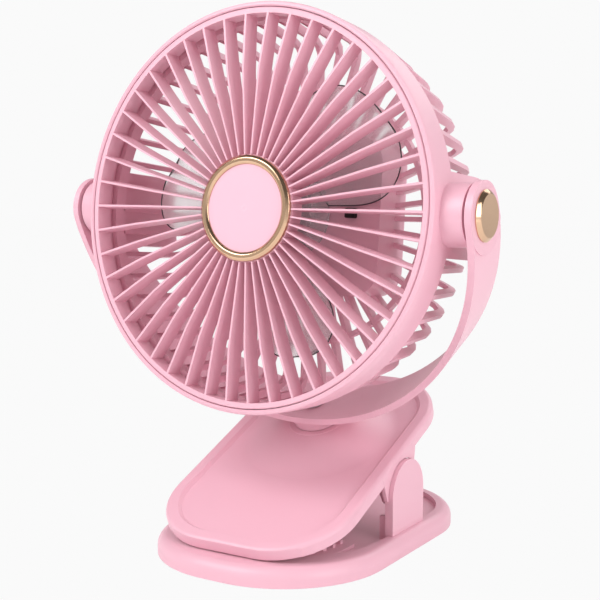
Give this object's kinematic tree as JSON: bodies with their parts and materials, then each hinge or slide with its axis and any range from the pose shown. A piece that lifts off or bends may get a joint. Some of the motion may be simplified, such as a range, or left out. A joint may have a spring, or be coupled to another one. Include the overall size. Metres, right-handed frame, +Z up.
{
  "type": "portable clip-on fan",
  "caption": "Small pink fan in a round ribbed housing on a tilting U-shaped yoke, which swivels on a spring clip that also stands as a base.",
  "frame": {"origin": "middle of the clip base's underside, on the surface it stands on", "axes": "+Z up, -Y towards the front, where the fan blows, +X to the right as seen from the front"},
  "size_m": [0.1988, 0.152, 0.2333],
  "materials": {
    "pink_shell": "satin",
    "gold_trim": "polished",
    "clear_blade": "clear, glossy",
    "pad_rubber": "matte",
    "foot_rubber": "matte",
    "zinc_steel": "satin",
    "spring_steel": "satin",
    "cell_sleeve": "gloss",
    "board_green": "matte",
    "black_part": "matte",
    "lamp_clear": "gloss",
    "nylon_white": "matte"
  },
  "bodies": {
    "base": {"base_tray": "pink_shell", "base_cover": "pink_shell", "rubber_feet": "foot_rubber", "base_screws": "zinc_steel", "base_jaw_pad": "pad_rubber", "hinge_pin": "zinc_steel", "torsion_spring": "spring_steel"},
    "lever": {"lever_plate": "pink_shell", "lever_jaw_pad": "pad_rubber"},
    "yoke": {"yoke_band": "pink_shell", "swivel_spindle": "zinc_steel", "swivel_nut": "zinc_steel", "pivot_cap_right": "gold_trim", "pivot_cap_left": "gold_trim", "friction_washers": "nylon_white"},
    "head": {"drum_housing": "pink_shell", "front_grille": "pink_shell", "hub_trim_ring": "gold_trim", "hub_disc": "pink_shell", "rear_cage": "pink_shell", "pod_cover": "pink_shell", "cover_screws": "zinc_steel", "motor_can": "zinc_steel", "motor_screws": "zinc_steel", "battery_cells": "cell_sleeve", "circuit_board": "board_green", "usb_socket": "zinc_steel", "tact_switch": "black_part", "charge_lamp": "lamp_clear", "pivot_screw_right": "zinc_steel", "pivot_screw_left": "zinc_steel"},
    "impeller": {"impeller": "clear_blade", "motor_shaft": "zinc_steel"},
    "button": {"power_button": "pink_shell"}
  },
  "joints": [
    {"name": "clip_open", "type": "hinge", "parent": "base", "child": "lever", "pos_m": [0, 0.0053, 0.0246], "axis": [-1, 0, 0], "range_deg": [0, 30], "stiffness_Nm_per_rad": 1, "springref_deg": -57.3, "deforming": ["torsion_spring"]},
    {"name": "yoke_swivel", "type": "hinge", "parent": "lever", "child": "yoke", "pos_m": [0, -0.03332, 0.14779], "axis": [0, -0.3851, 0.9229], "range_deg": [-180, 180]},
    {"name": "head_tilt", "type": "hinge", "parent": "yoke", "child": "head", "pos_m": [0, -0.03332, 0.14779], "axis": [1, 0, 0], "range_deg": [-61, 118]},
    {"name": "impeller_spin", "type": "hinge", "parent": "head", "child": "impeller", "pos_m": [0, -0.03332, 0.14779], "axis": [0, 0.9951, -0.0988], "continuous": true},
    {"name": "power_press", "type": "slide", "parent": "head", "child": "button", "axis": [0, -0.9951, 0.0988], "range_m": [0, 0.0008], "stiffness_N_per_m": 1200, "springref_m": -0.0006}
  ]
}
